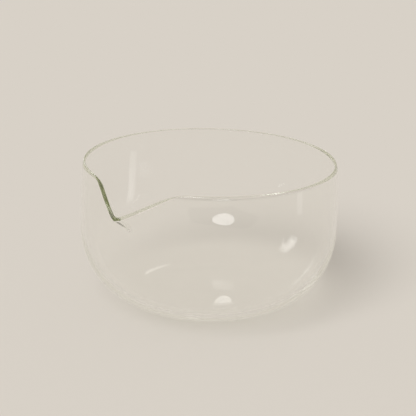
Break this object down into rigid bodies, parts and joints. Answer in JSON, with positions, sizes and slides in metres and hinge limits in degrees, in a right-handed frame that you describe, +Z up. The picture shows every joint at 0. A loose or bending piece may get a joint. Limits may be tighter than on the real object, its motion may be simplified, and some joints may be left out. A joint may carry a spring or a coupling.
{
  "type": "spouted glass tea bowl",
  "caption": "Clear blown glass tea bowl with a rounded belly, a flat foot, a fire-polished rim and a pinched V-shaped pouring spout.",
  "frame": {"origin": "centre of the flat standing face, on the bowl's axis", "axes": "+Z up along the bowl's axis, -Y towards the tip of the spout, +X to the right of the spout seen from outside"},
  "size_m": [0.125, 0.1378, 0.069],
  "materials": {
    "clear_glass": "clear blown glass, polished, faintly green where the edge is seen along the glass"
  },
  "bodies": {
    "root": {"glass_bowl": "clear_glass"}
  },
  "joints": []
}
